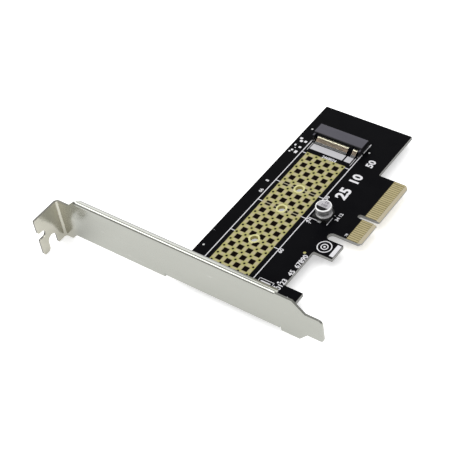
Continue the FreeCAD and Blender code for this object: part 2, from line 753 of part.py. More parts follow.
# --------------------------------------------------------------------- bracket
bracket = new_body("bracket")
pad(bracket, outline(bracket, "bracket_plan", "XY_Plane", (
    ("-tab_outer", "-plate_inner"),
    ("tongue_end", "-plate_inner"),
    ("tongue_end", "-plate_outer"),
    ("-tab_reach", "-plate_outer"),
    ("-tab_reach", "-tab_free"),
    ("-tab_outer", "-tab_free"),
), lift="-tab_below"), "plate_top + tab_below")
soften(bracket, "Fillet", "tab_bend_in",
       edges_at(bracket.Tip, x=-size("tab_reach"), y=-size("plate_outer")), "tab_bend")
soften(bracket, "Fillet", "tab_bend_out",
       edges_at(bracket.Tip, x=-size("tab_outer"), y=-size("plate_inner")), "tab_bend + sheet_thick")
pocket(bracket, outline(bracket, "front_silhouette", "XZ_Plane", (
    ("-tab_outer - 1", "tab_top"),
    ("-tab_reach + neck_high_run", "tab_top"),
    ("-tab_reach + neck_high_run + neck_high_slope", "plate_top"),
    ("-tab_reach + neck_high_run + neck_high_slope", "plate_top + 1"),
    ("-tab_outer - 1", "plate_top + 1"),
), (
    ("-tab_reach + neck_low_run", "-tab_below - 1"),
    ("-tab_reach + neck_low_run", "-tab_below"),
    ("-tab_reach + neck_low_run + tab_below - plate_below", "-plate_below"),
    ("board_wide + shoulder_low", "-plate_below"),
    ("board_wide + shoulder_low + shoulder_low_slope", "tongue_low"),
    ("tongue_end + 1", "tongue_low"),
    ("tongue_end + 1", "-tab_below - 1"),
), (
    ("board_wide + shoulder_top", "plate_top + 1"),
    ("board_wide + shoulder_top", "plate_top"),
    ("board_wide + shoulder_top + shoulder_top_slope", "tongue_top"),
    ("tongue_end + 1", "tongue_top"),
    ("tongue_end + 1", "plate_top + 1"),
)))
soften(bracket, "Fillet", "tongue_corners",
       edges_at(bracket.Tip, x=size("tongue_end"), z=size("tongue_low"))
       + edges_at(bracket.Tip, x=size("tongue_end"), z=size("tongue_top")), "tongue_round")
# screw slot and free-edge notch of the tab
pocket(bracket, outline(bracket, "tab_cuts", "YZ_Plane",
                        box_loop("-slot_place - slot_radius", "-slot_place + slot_radius",
                                 "-tab_below - 1", "slot_round_z"),
                        box_loop("-tab_free - 1", "-notch_root",
                                 "notch_low", "notch_low + notch_high")))
pocket(bracket, circles(bracket, "tab_rounds", "YZ_Plane",
                        ("-slot_place", "slot_round_z", "slot_radius"),
                        ("-notch_root", "notch_mid", "notch_half")))
tab_free, tab_low = -size("tab_free"), -size("tab_below")
slot_side = size("slot_place") + size("slot_radius")
soften(bracket, "Fillet", "finger_ends",
       edges_at(bracket.Tip, y=tab_free, z=tab_low)
       + edges_at(bracket.Tip, y=-slot_side, z=tab_low), "finger_round")
soften(bracket, "Fillet", "lobe_corner",
       edges_at(bracket.Tip, y=tab_free, z=size("notch_low") + size("notch_high")), "lobe_round")
soften(bracket, "Fillet", "tab_corners",
       edges_at(bracket.Tip, y=tab_free, z=size("tab_top"))
       + edges_at(bracket.Tip, y=tab_free, z=size("notch_low")), "tab_corner")
soften(bracket, "Fillet", "slot_side_corner",
       edges_at(bracket.Tip, y=-size("slot_place") + size("slot_radius"), z=tab_low), "slot_corner")
# top flange, folded back over the board side
pocket(bracket, outline(bracket, "flange_room", "XZ_Plane", box_loop(
    "-flange_left", "flange_end", "flange_base", "plate_top + 1")))
flange_bend = outline(bracket, "flange_bend", "XY_Plane", box_loop(
    "-flange_left", "flange_end", "-plate_outer", "-plate_inner"), lift="flange_base")
revolve(bracket, flange_bend, hinge(flange_bend, ("flange_end", "-bend_mid"), ("-flange_left", "-bend_mid")),
        "90 + flange_droop")
pad(bracket, outline(bracket, "flange_flat_side", "YZ_Plane", (
    ("-bend_mid + bend_out * sin(flange_droop)", "flange_base + bend_out * cos(flange_droop)"),
    ("-tip_place", "tip_high"),
    ("-tip_in_place", "tip_in_high"),
    ("-bend_mid + bend_in * sin(flange_droop)", "flange_base + bend_in * cos(flange_droop)"),
), lift="-flange_left"), "flange_left + flange_end")
doc.recompute()
flange_corners = []
for number, edge in enumerate(bracket.Tip.Shape.Edges, 1):
    spots = sorted(round(vertex.Point.z, 4) for vertex in edge.Vertexes)
    if spots == [round(size("tip_in_high"), 4), round(size("tip_high"), 4)]:
        flange_corners.append("Edge%d" % number)
soften(bracket, "Fillet", "flange_corners", flange_corners, "flange_round")
# lower flange with its two ears under the board
pocket(bracket, outline(bracket, "ear_relief", "XZ_Plane", (
    ("-ear_left - relief_wide", "-plate_below - 1"),
    ("-ear_left - relief_wide", "relief_high - ear_under"),
    ("-ear_left", "relief_high - ear_under"),
    ("-ear_left", "-ear_under"),
    ("ear_end", "-ear_under"),
    ("ear_end", "relief_high - ear_under"),
    ("ear_end + relief_wide", "relief_high - ear_under"),
    ("ear_end + relief_wide", "-plate_below - 1"),
)))
pad(bracket, outline(bracket, "ear_plan", "XY_Plane", (
    ("-ear_left", "-plate_outer"),
    ("ear_end", "-plate_outer"),
    ("ear_end", "-ear_root"),
    ("screw_far + ear_half", "-ear_root"),
    ("screw_far + ear_half", "-ear_tip"),
    ("screw_far - ear_half", "-ear_tip"),
    ("screw_far - ear_half", "-ear_root"),
    ("screw_inset + ear_half", "-ear_root"),
    ("screw_inset + ear_half", "-ear_tip"),
    ("screw_inset - ear_half", "-ear_tip"),
    ("screw_inset - ear_half", "-ear_root"),
    ("-ear_left", "-ear_root"),
), lift="-board_thick"), "sheet_thick", back=True)
ear_corners = []
for centre in (size("screw_inset"), size("screw_far")):
    for side in (-1, 1):
        ear_corners += edges_at(bracket.Tip, x=centre + side * size("ear_half"), y=-size("ear_tip"))
soften(bracket, "Fillet", "ear_corners", ear_corners, "ear_round")
pocket(bracket, circles(bracket, "ear_holes", "XY_Plane",
                        ("screw_inset", "-screw_place", "screw_shank + screw_thread_gap"),
                        ("screw_far", "-screw_place", "screw_shank + screw_thread_gap"),
                        lift="0"), "ear_under + 1")
soften(bracket, "Fillet", "ear_bend_out",
       edges_at(bracket.Tip, y=-size("plate_outer"), z=-size("ear_under")), "bend_out")
soften(bracket, "Fillet", "ear_bend_in",
       edges_at(bracket.Tip, y=-size("plate_inner"), z=-size("board_thick")), "bend_in")

# --------------------------------------------------------------- bracket screws
screws = new_body("bracket_screws")
revolve(screws, outline(screws, "screw_section", "XZ_Plane", (
    ("0", "-screw_long"),
    ("screw_shank", "-screw_long"),
    ("screw_shank", "0"),
    ("screw_head", "0"),
    ("screw_head", "head_high - head_round"),
    ("screw_head - head_round", "head_high"),
    ("0", "head_high"),
), lift="screw_place", across="screw_inset"))
first_screw = screws.Tip
drive = outline(screws, "screw_drive", "XY_Plane", (
    ("screw_inset - drive_long / 2", "-screw_place - drive_wide / 2"),
    ("screw_inset - drive_wide / 2", "-screw_place - drive_wide / 2"),
    ("screw_inset - drive_wide / 2", "-screw_place - drive_long / 2"),
    ("screw_inset + drive_wide / 2", "-screw_place - drive_long / 2"),
    ("screw_inset + drive_wide / 2", "-screw_place - drive_wide / 2"),
    ("screw_inset + drive_long / 2", "-screw_place - drive_wide / 2"),
    ("screw_inset + drive_long / 2", "-screw_place + drive_wide / 2"),
    ("screw_inset + drive_wide / 2", "-screw_place + drive_wide / 2"),
    ("screw_inset + drive_wide / 2", "-screw_place + drive_long / 2"),
    ("screw_inset - drive_wide / 2", "-screw_place + drive_long / 2"),
    ("screw_inset - drive_wide / 2", "-screw_place + drive_wide / 2"),
    ("screw_inset - drive_long / 2", "-screw_place + drive_wide / 2"),
), lift="head_high")
drive_cut = pocket(screws, drive, "drive_deep")
screw_pair = repeat(screws, drive_cut, "X_Axis", "screw_far - screw_inset", "2")
screw_pair.Originals = [first_screw, drive_cut]

# ------------------------------------------------------------- check and export
doc.recompute()
for item in doc.Objects:
    if "Invalid" in item.State or "Error" in item.State:
        raise RuntimeError("%s did not compute: %s" % (item.Name, item.State))
for body in bodies:
    shape = body.Shape
    if shape.isNull() or not shape.isValid() or not shape.Solids:
        raise RuntimeError("%s has no valid solid" % body.Label)
    shape.exportStep("parts/%s.step" % body.Label)
    print("%-24s solids %3d volume %10.3f" % (body.Label, len(shape.Solids), shape.Volume))
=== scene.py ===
import math

import bpy
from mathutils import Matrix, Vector


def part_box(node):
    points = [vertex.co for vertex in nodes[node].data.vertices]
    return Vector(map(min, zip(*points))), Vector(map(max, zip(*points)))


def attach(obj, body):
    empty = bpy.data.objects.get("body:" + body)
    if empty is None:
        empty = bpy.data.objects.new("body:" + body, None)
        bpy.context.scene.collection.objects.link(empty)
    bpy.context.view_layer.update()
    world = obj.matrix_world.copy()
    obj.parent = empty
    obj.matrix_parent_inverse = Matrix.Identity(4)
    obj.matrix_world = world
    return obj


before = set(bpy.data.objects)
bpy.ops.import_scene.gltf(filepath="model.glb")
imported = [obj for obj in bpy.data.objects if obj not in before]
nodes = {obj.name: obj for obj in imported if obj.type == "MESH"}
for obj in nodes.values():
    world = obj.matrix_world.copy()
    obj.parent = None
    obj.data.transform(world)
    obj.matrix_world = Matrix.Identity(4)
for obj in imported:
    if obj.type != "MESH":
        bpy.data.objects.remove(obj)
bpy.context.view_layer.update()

# Adapter card in metres, in the row frame. Places are given in millimetres from the board's
# corner: across from its screw-tab side, along from its far edge towards the bracket, up from
# its component face. Every piece lies still, since the card has no moving part.

MM = 0.001
board_low, board_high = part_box("circuit_board")
CORNER = Vector((board_low.x, board_high.y, board_high.z))


def spot(across, along, up=0.0):
    return CORNER + Vector((across, -along, up)) * MM


def reach(node):
    """A node's box in board millimetres: across from and to, along from and to, up from and to."""
    low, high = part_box(node)
    low, high = (low - CORNER) / MM, (high - CORNER) / MM
    return low.x, high.x, -high.y, -low.y, low.z, high.z


# ---------------------------------------------------------------- shader maths


class Wire:
    """One output of a finish's node tree; arithmetic on wires adds Math nodes."""

    def __init__(self, finish, socket):
        self.finish, self.socket = finish, socket

    def _math(self, operation, first, second=None):
        values = {0: first} if second is None else {0: first, 1: second}
        return self.finish.node("Math", {"operation": operation}, values)

    def __add__(self, other):
        return self._math("ADD", self, other)

    def __sub__(self, other):
        return self._math("SUBTRACT", self, other)

    def __rsub__(self, other):
        return self._math("SUBTRACT", other, self)

    def __mul__(self, other):
        return self._math("MULTIPLY", self, other)

    def __truediv__(self, other):
        return self._math("DIVIDE", self, other)

    def __gt__(self, other):
        return self._math("GREATER_THAN", self, other)

    def __lt__(self, other):
        return self._math("LESS_THAN", self, other)

    def __mod__(self, other):
        return self._math("FLOORED_MODULO", self, other)

    def __pow__(self, other):
        return self._math("POWER", self, other)

    def __abs__(self):
        return self._math("ABSOLUTE", self)

    def top(self, other):
        return self._math("MAXIMUM", self, other)

    def least(self, other):
        return self._math("MINIMUM", self, other)

    def root(self):
        return self._math("SQRT", self)

    def between(self, low, high):
        return (self > low) * (self < high)

    def ramp(self, low, high, out_low=0.0, out_high=1.0):
        """The value carried from one range to another, and kept inside it."""
        return self.finish.node(
            "MapRange", {"clamp": True}, {0: self, 1: low, 2: high, 3: out_low, 4: out_high})

    def spread(self, low, high):
        """A noise, which mostly lies between 0.3 and 0.7, carried onto another range."""
        return self.ramp(0.3, 0.7, low, high)


class Finish:
    """A node material with one Principled shader."""

    def __init__(self, name, roughness, metallic=0.0, **steady):
        self.material = bpy.data.materials.new(name)
        self.material.use_nodes = True
        self.tree = self.material.node_tree
        self.tree.nodes.clear()
        self.shader = self.tree.nodes.new("ShaderNodeBsdfPrincipled")
        output = self.tree.nodes.new("ShaderNodeOutputMaterial")
        self.tree.links.new(self.shader.outputs[0], output.inputs[0])
        self.shader.inputs["Roughness"].default_value = roughness
        self.shader.inputs["Metallic"].default_value = metallic
        for socket, value in steady.items():
            self.shader.inputs[socket.replace("_", " ")].default_value = value
        self.object_place = self.node("TexCoord", {}, {}, "Object")

    def node(self, kind, settings, values, output=0):
        """Add a node: its settings first, then the value or the wire of each socket."""
        made = self.tree.nodes.new("ShaderNode" + kind)
        for key, value in settings.items():
            setattr(made, key, value)
        for key, value in values.items():
            self.join(made.inputs[key], value)
        return Wire(self, made.outputs[output])

    def join(self, socket, value):
        if isinstance(value, Wire):
            self.tree.links.new(value.socket, socket)
        else:
            socket.default_value = value

    def feed(self, **values):
        """Join what varies to the shader, and give back the finished material."""
        for key, value in values.items():
            self.join(self.shader.inputs[key.replace("_", " ")], value)
        return self.material

    def parts(self, vector):
        """The three parts of a vector wire."""
        split = self.node("SeparateXYZ", {}, {0: vector}).socket.node
        return [Wire(self, socket) for socket in split.outputs]

    def place(self):
        """Across, along and up in board millimetres."""
        x, y, z = (part * (1 / MM) for part in self.parts(self.object_place))
        return x - CORNER.x / MM, CORNER.y / MM - y, z - CORNER.z / MM

    def facing(self):
        """The surface direction's three parts."""
        return self.parts(self.node("NewGeometry", {}, {}, "True Normal"))

    def noise(self, scale, detail, stretch=(1.0, 1.0, 1.0), rough=0.5):
        """Noise with so many waves to the metre, drawn out where the stretch of an axis is under 1."""
        mapped = self.node(
            "Mapping", {"vector_type": "POINT"}, {"Vector": self.object_place, "Scale": stretch})
        return self.node(
            "TexNoise", {}, {"Vector": mapped, "Scale": scale, "Detail": detail, "Roughness": rough})

    def cells(self, scale):
        """Distance from scattered points, so many to the metre."""
        return self.node("TexVoronoi", {"feature": "F1"}, {"Vector": self.object_place, "Scale": scale})

    def mix(self, factor, first, second):
        """First colour where the factor is 0, second where it is 1."""
        return self.node("Mix", {"data_type": "RGBA"}, {0: factor, 6: colour(first), 7: colour(second)}, 2)

    def bump(self, height, strength, distance):
        return self.node("Bump", {}, {"Strength": strength, "Distance": distance, "Height": height})


def colour(value):
    return value if isinstance(value, Wire) else (*value, 1.0)


# ---------------------------------------------------------------- places that finishes follow

pad_left, pad_right, pad_far, pad_near = reach("heat_pad")[:4]
finger_inner, finger_outer, finger_far, finger_near = reach("edge_contacts_top")[:4]
can_left, can_right, can_far, can_near, can_foot, can_top = reach("capacitor_can")
can_across, can_along = (can_left + can_right) / 2, (can_far + can_near) / 2

# the module's datum lies inside the socket, and the fixing holes and the pad's lattice count from it
DATUM_IN_SOCKET = 2.92
LATTICE_FROM_DATUM = 12.0
PITCH = 4.0
FIX_PLACES = (30, 42, 60, 80)
BORE = 1.6
LAND = 2.3
centre = (pad_left + pad_right) / 2
datum = reach("socket_housing")[2] + DATUM_IN_SOCKET
lattice_far = datum + LATTICE_FROM_DATUM

# edge contacts: their pitch, and how far covered tracks run in from them
CONTACT_PITCH = 1.0
TRACK_LONG = 2.6

# capacitor's top: the radius of its lacquer, and where its black segment starts
LACQUER = 2.72
SEGMENT = 0.85

# bracket: the flange's slope, its far edge and what lies under it; the tab beyond its bend; where
# the painted warm reflection spreads over the plate towards the tab
DROOP = math.radians(35)
TIP_ALONG, TIP_UP = 101.83, 14.70
FLANGE_LOW = 14.5
TAB_FACE = -52.2
PAINTED_REFLECTION_FROM, PAINTED_REFLECTION_TO = -44.0, -50.0


def to_fixing_hole(across, along):
    """How far a place is from the axis of the nearest fixing hole."""
    nearest = None
    for place in FIX_PLACES:
        away = ((across - centre) ** 2 + (along - (datum + place)) ** 2).root()
        nearest = away if nearest is None else away.least(nearest)
    return nearest


def down_flange(along, up):
    """How far a place is down the flange's slope."""
    return along * -math.cos(DROOP) - up * math.sin(DROOP)


# ---------------------------------------------------------------- finishes


def board_finish():
    """Black mask over glass laminate, bare between the finger contacts and on cut edges."""
    made = Finish("board_black", roughness=0.38, Specular_IOR_Level=0.02)
    across, along, up = made.place()
    side = 1 - (abs(made.facing()[2]) > 0.75)
    flat = 1 - side
    grain = made.noise(2600, 4)
    cloud = made.noise(60, 2)
    # mask: cold black, and browner inside the windows of the heat pad
    mask = made.mix(grain * 0.6 + cloud * 0.4, (0.0014, 0.0014, 0.0019), (0.0040, 0.0040, 0.0052))
    windows = across.between(pad_left, pad_right) * along.between(pad_far, pad_near)
    mask = made.mix(windows, mask, made.mix(cloud, (0.0022, 0.0007, 0.0004), (0.0045, 0.0014, 0.0008)))
    # bare laminate between the contacts, and the sanded bevel outside them
    bare = across.between(finger_inner - 0.15, finger_outer + 2)
    bare = bare * along.between(finger_far - 0.45, finger_near + 0.45)
    mask = made.mix(bare, mask, made.mix(grain, (0.15, 0.125, 0.055), (0.22, 0.185, 0.09)))
    bevel = made.mix(grain, (0.47, 0.415, 0.29), (0.56, 0.505, 0.37))
    mask = made.mix(across > finger_outer + 0.05, mask, bevel)
    # cut edge: glass grey under a line of dark mask
    edge = made.mix(up > -0.06, (0.30, 0.30, 0.295), (0.02, 0.02, 0.02))
    edge = made.mix(grain * 0.35, edge, (0.36, 0.35, 0.31))
    bore = (to_fixing_hole(across, along) < BORE) * side
    tint = made.mix(side, mask, edge)
    tint = made.mix(bore, tint, made.mix(grain, (0.34, 0.29, 0.09), (0.50, 0.44, 0.18)))
    # relief: cloth weave, and covered tracks that run in from the contacts
    weave = ((along * 2.2) % 1.0 - 0.5) * ((across * 2.2) % 1.0 - 0.5)
    tracks = across.between(finger_inner - TRACK_LONG, finger_inner) * along.between(finger_far, finger_near)
    tracks = tracks * (abs((along - finger_far) % CONTACT_PITCH - 0.35) < 0.10)
    relief = weave * 0.5 + grain * 0.5 + made.noise(330, 3, (1.0, 0.2, 1.0)) * 0.6 + tracks * 2.0
    return made.feed(
        Base_Color=tint,
        Metallic=bore * 0.35,
        Roughness=made.noise(180, 3).spread(0.30, 0.46) * flat + side * 0.75 - bore * 0.4,
        Normal=made.bump(relief, 0.10, 0.00004))


def finger_finish():
    """Thin gold plate, with insertion marks drawn out across the board."""
    made = Finish("finger_gold", roughness=0.3, metallic=0.85)
    streaks = made.noise(900, 4, (0.12, 1.6, 1.0))
    cloud = made.noise(240, 3)
    speck = made.noise(5200, 2)
    return made.feed(
        Base_Color=made.mix(streaks * 0.55 + cloud * 0.45, (0.45, 0.385, 0.205), (0.58, 0.505, 0.29)),
        Roughness=(streaks * 0.5 + speck * 0.5).spread(0.24, 0.46),
        Normal=made.bump(streaks * 0.6 + speck * 0.4, 0.12, 0.00003))


def pad_finish():
    """Pale gold lattice with darker rims round its openings and brighter lands at the fixing holes."""
    made = Finish("pad_gold", roughness=0.42, metallic=0.55)
    across, along, _ = made.place()
    cloud = made.noise(150, 3)
    speck = made.noise(3800, 3)
    wobble = made.noise(1500, 2) * 0.10 - 0.05
    column = (across - centre) / PITCH + wobble * 0.3
    row = (along - lattice_far) / PITCH + wobble * 0.3
    from_window = abs((column % 1.0) - 0.5).top(abs((row % 1.0) - 0.5)) * PITCH
    rim = from_window.ramp(1.15, 1.42, 1.0, 0.0)
    from_via = ((abs(((column + 0.5) % 1.0) - 0.5) ** 2 + abs(((row + 0.5) % 1.0) - 0.5) ** 2) ** 0.5) * PITCH
    near_via = from_via.ramp(0.9, 1.7, 1.0, 0.0)
    straps = made.mix(near_via, (0.46, 0.41, 0.245), (0.42, 0.41, 0.145))
    dull = (0.24, 0.20, 0.08)
    tint = made.mix(cloud * 0.5 + speck * 0.5, made.mix(0.25, straps, dull), straps)
    tint = made.mix(rim * 0.6, tint, (0.17, 0.155, 0.04))
    clear = to_fixing_hole(across, along) > LAND
    tint = made.mix(from_via.ramp(0.62, 0.80, 1.0, 0.0) * 0.35 * clear, tint, dull)
    tint = made.mix(from_via.ramp(0.40, 0.52, 1.0, 0.0) * clear, tint, (0.030, 0.020, 0.006))
    tint = made.mix(1 - clear, tint, made.mix(cloud, (0.56, 0.54, 0.24), (0.70, 0.68, 0.36)))
    return made.feed(
        Base_Color=tint,
        Roughness=speck.spread(0.36, 0.55),
        Normal=made.bump(speck * 0.5 + cloud, 0.18, 0.00004))


def zinc_finish(name, dark, pale, grain_scale=1.0, painted_reflection=0.0):
    """Bright zinc plate on rolled sheet: long faint rolling lines, soft clouds and small scuffs, with a
    painted warm reflection towards the tab and painted shade towards the flange's far edge.
    """
    made = Finish(name, roughness=0.2, metallic=1.0)
    lines = made.noise(420 * grain_scale, 4, (0.05, 1.0, 1.6))
    cloud = made.noise(32, 3)
    speck = made.noise(2400, 3)
    scuff = made.noise(110, 5, (0.4, 1.0, 2.2), 0.75).ramp(0.62, 0.70)
    tint = made.mix(lines * 0.35 + cloud * 0.45 + speck * 0.2, dark, pale)
    tint = made.mix(scuff * 0.25, tint, (0.72, 0.72, 0.70))
    across, along, up = made.place()
    # painted reflection: a warm khaki tint towards the tab stands in for the warm light that the plate and
    # tab mirror
    tint = made.mix(across.ramp(PAINTED_REFLECTION_FROM, PAINTED_REFLECTION_TO) * painted_reflection, tint, (0.55, 0.53, 0.445))
    # painted shade: the flange darkens towards its far edge, standing in for the dark board it mirrors and
    # the shade along that edge; the tab's rim is darker sheared steel
    tip = down_flange(TIP_ALONG, TIP_UP)
    painted_flange_shade = down_flange(along, up).ramp(tip - 1.5, tip - 0.2) * (up > FLANGE_LOW)
    tint = made.mix(painted_flange_shade * 0.92, tint, (0.075, 0.075, 0.07))
    cut = (across < TAB_FACE) * (abs(made.facing()[0]) < 0.5)
    tint = made.mix(cut * 0.8, tint, (0.10, 0.10, 0.095))
    return made.feed(
        Base_Color=tint,
        Roughness=(lines * 0.6 + speck * 0.4).spread(0.15, 0.26) + scuff * 0.08 + cut * 0.2,
        Normal=made.bump(lines * 0.5 + speck * 0.5, 0.06, 0.00004))


def moulded_finish(name, painted_shade_sides, dark, pale, roughness):
    """Glass-filled moulding: a top with pale flow marks, and sides painted much darker than the top as
    painted shade.
    """
    made = Finish(name, roughness=roughness, Specular_IOR_Level=0.3)
    skin = made.noise(3000, 3)
    flow = made.noise(260, 3, (0.25, 1.0, 1.0))
    # painted shade: faces that are not turned up take a far darker colour than the top
    painted_lit_top = made.facing()[2] > 0.9
    return made.feed(
        Base_Color=made.mix(painted_lit_top, painted_shade_sides, made.mix(flow * 0.7 + skin * 0.3, dark, pale)),
        Roughness=skin.spread(roughness - 0.06, roughness + 0.08),
        Normal=made.bump(skin, 0.25, 0.00003))


def contact_finish(name, dark, pale, foot_high, shoulder):
    """Plated springs: tinned feet, dull nickel beams and bright gold where a card touches."""
    made = Finish(name, roughness=0.3, metallic=0.9)
    _, _, up = made.place()
    drawn = made.noise(2200, 3, (1.0, 0.2, 0.4))
    cloud = made.noise(160, 2)
    beam = made.mix(cloud, (0.085, 0.088, 0.070), (0.19, 0.125, 0.095))
    tint = made.mix(drawn * 0.4, beam, (0.22, 0.20, 0.14))
    tint = made.mix(up.ramp(shoulder - 0.12, shoulder), tint, made.mix(drawn, dark, pale))
    tin = up < foot_high
    tint = made.mix(tin, tint, made.mix(drawn, (0.36, 0.36, 0.36), (0.52, 0.52, 0.51)))
    return made.feed(
        Base_Color=tint,
        Roughness=drawn.spread(0.26, 0.42) + tin * 0.12,
        Normal=made.bump(drawn, 0.12, 0.00002))


def solder_finish(name, dark, pale):
    """Frozen solder or tin plate: small domed grains."""
    made = Finish(name, roughness=0.35, metallic=0.9)
    grains = made.cells(3200)
    cloud = made.noise(700, 3)
    return made.feed(
        Base_Color=made.mix(cloud * 0.6 + grains * 0.5, dark, pale),
        Roughness=cloud.spread(0.26, 0.48),
        Normal=made.bump(grains * 0.5 + cloud, 0.25, 0.00004))


def can_finish():
    """Drawn aluminium can: turned lines round its wall, a painted highlight on its foot and top rim, pale
    lacquered top with a black segment.
    """
    made = Finish("can_aluminium", roughness=0.3, metallic=0.8, Specular_IOR_Level=0.12)
    across, along, up = made.place()
    east, north = across - can_across, along - can_along
    from_axis = (east ** 2 + north ** 2).root()
    top = (up > can_top - 0.2) * (from_axis < LACQUER)
    segment = top * (north > SEGMENT)
    drawn = made.noise(1500, 3, (1.0, 1.0, 0.08))
    rings = made.noise(600, 2, (0.02, 0.02, 3.0))
    speck = made.noise(3600, 2)
    wall = made.mix(drawn * 0.5 + rings * 0.5, (0.60, 0.60, 0.61), (0.78, 0.78, 0.79))
    lacquer = made.mix(speck, (0.42, 0.41, 0.43), (0.54, 0.53, 0.55))
    # painted highlight: the foot and the top rim are painted near white and made barely metallic
    painted_highlight_curl = (up < can_foot + 0.90) + (from_axis > LACQUER) * (up > can_top - 0.45)
    tint = made.mix(painted_highlight_curl, wall, (0.95, 0.95, 0.95))
    tint = made.mix(top, tint, lacquer)
    tint = made.mix(segment, tint, (0.002, 0.002, 0.003))
    return made.feed(
        Base_Color=tint,
        Metallic=0.8 - top * 0.6 - segment * 0.2 - painted_highlight_curl * 0.6,
        Roughness=(drawn * 0.5 + speck * 0.5).spread(0.26, 0.38) + top * 0.16,
        Normal=made.bump(drawn * 0.6 + speck * 0.4, 0.10, 0.00004))


def ink_finish(name, dark, pale):
    """Screen-printed ink, faintly grained, and duller where it crosses the gold pad."""
    made = Finish(name, roughness=0.6, Specular_IOR_Level=0.3)
    speck = made.noise(6500, 3)
    cloud = made.noise(500, 2)
    across, along, up = made.place()
    on_pad = across.between(pad_left, pad_right) * along.between(pad_far, pad_near) * (up < 0.1)
    return made.feed(
        Base_Color=made.mix(on_pad, made.mix(speck * 0.6 + cloud * 0.4, dark, pale), (0.34, 0.31, 0.22)),
        Roughness=speck.spread(0.52, 0.7),
        Normal=made.bump(speck, 0.2, 0.00002))


pad_gold = pad_finish()
finger_gold = finger_finish()
tin = solder_finish("tin", (0.48, 0.48, 0.48), (0.70, 0.70, 0.70))
solder = solder_finish("solder", (0.42, 0.42, 0.42), (0.66, 0.66, 0.66))
ink = ink_finish("legend_ink", (0.64, 0.635, 0.66), (0.78, 0.775, 0.80))
can_ink = ink_finish("can_ink", (0.040, 0.032, 0.050), (0.075, 0.062, 0.090))

FINISHES = {
    "circuit_board": board_finish(),
    "bracket": zinc_finish("bracket_zinc", (0.325, 0.33, 0.30), (0.38, 0.385, 0.35), painted_reflection=0.6),
    "bracket_screws": zinc_finish("screw_zinc", (0.55, 0.55, 0.53), (0.70, 0.70, 0.68), grain_scale=3.0),
    "socket_housing": moulded_finish(
        "socket_black", (0.009, 0.009, 0.011), (0.045, 0.043, 0.056), (0.080, 0.076, 0.096), 0.42),
    "socket_lower_contacts": contact_finish(
        "lower_contact_gold", (0.68, 0.64, 0.46), (0.86, 0.83, 0.66), foot_high=0.24, shoulder=1.3),
    "socket_upper_contacts": contact_finish(
        "upper_contact_gold", (0.34, 0.29, 0.13), (0.66, 0.56, 0.28), foot_high=0.26, shoulder=1.6),
    "socket_hold_downs": solder_finish("hold_nickel", (0.035, 0.035, 0.037), (0.080, 0.080, 0.082)),
    "socket_lands": solder,
    "capacitor_can": can_finish(),
    "capacitor_base": moulded_finish(
        "base_black", (0.004, 0.004, 0.004), (0.003, 0.003, 0.003), (0.006, 0.006, 0.006), 0.6),
    "capacitor_leads": tin,
    "capacitor_lands": solder,
    "edge_contacts_top": finger_gold,
    "edge_contacts_bottom": finger_gold,
    "heat_pad": pad_gold,
    "fiducials": tin,
    "test_pad": pad_gold,
    "legend_lines": ink,
    "legend_blocks": ink_finish("block_ink", (0.46, 0.455, 0.475), (0.58, 0.575, 0.595)),
}

for node, finish in FINISHES.items():
    slots = nodes[node].material_slots
    if not slots:
        nodes[node].data.materials.append(finish)
    for held in slots:
        held.material = finish

# ---------------------------------------------------------------- new pieces

PRINT = 0.03


def active():
    return bpy.context.view_layer.objects.active


def mode(name):
    bpy.ops.object.mode_set(mode=name)


def fresh():
    bpy.ops.object.select_all(action="DESELECT")


def pick(kind, test):
    """Enter edit mode on the active object, with only the faces or edges selected that pass."""
    mode("EDIT")
    bpy.ops.mesh.select_mode(type=kind)
    bpy.ops.mesh.select_all(action="DESELECT")
    mode("OBJECT")
    mesh = active().data
    for item in mesh.polygons if kind == "FACE" else mesh.edges:
        item.select = test(item)
    mode("EDIT")


def disc(across, along, radius, high, sides):
    """A flat round block, active and in object mode."""
    fresh()
    bpy.ops.mesh.primitive_cylinder_add(
        vertices=sides, radius=radius * MM, depth=high * MM, location=spot(across, along, high / 2))
    return active()


def dot(across, along, radius):
    """A low printed dot with a rounded rim."""
    piece = disc(across, along, radius, PRINT, 16)
    rim = min(radius, PRINT)
    pick("FACE", lambda face: face.normal.z > 0.9)
    bpy.ops.mesh.inset(thickness=rim * 0.4 * MM)
    mode("OBJECT")
    bpy.ops.object.transform_apply(location=True, rotation=True, scale=True)
    crown = spot(across, along, PRINT)
    for point in piece.data.vertices:
        outer = (point.co - crown).xy.length > (radius - 0.2 * rim) * MM
        if outer and abs(point.co.z - crown.z) < 1e-6:
            point.co.z = crown.z - 0.3 * PRINT * MM
    return piece


def upright(edge):
    first, second = (active().data.vertices[end].co for end in edge.vertices)
    return abs(first.z - second.z) > 1e-7


def slab(across, along, wide, long, round_by):
    """A printed block with rounded corners."""
    fresh()
    bpy.ops.mesh.primitive_cube_add(
        size=1, location=spot(across, along, PRINT / 2), scale=(wide * MM, long * MM, PRINT * MM))
    bpy.ops.object.transform_apply(location=False, rotation=False, scale=True)
    pick("EDGE", upright)
    bpy.ops.mesh.bevel(offset=round_by * MM, segments=3)
    mode("OBJECT")
    return active()


def ring(across, along, outer, inner):
    """A flat printed ring."""
    piece = disc(across, along, outer, PRINT, 40)
    pick("FACE", lambda face: abs(face.normal.z) > 0.9)
    bpy.ops.mesh.inset(thickness=(outer - inner) * MM)
    bpy.ops.mesh.bridge_edge_loops()
    mode("OBJECT")
    return piece


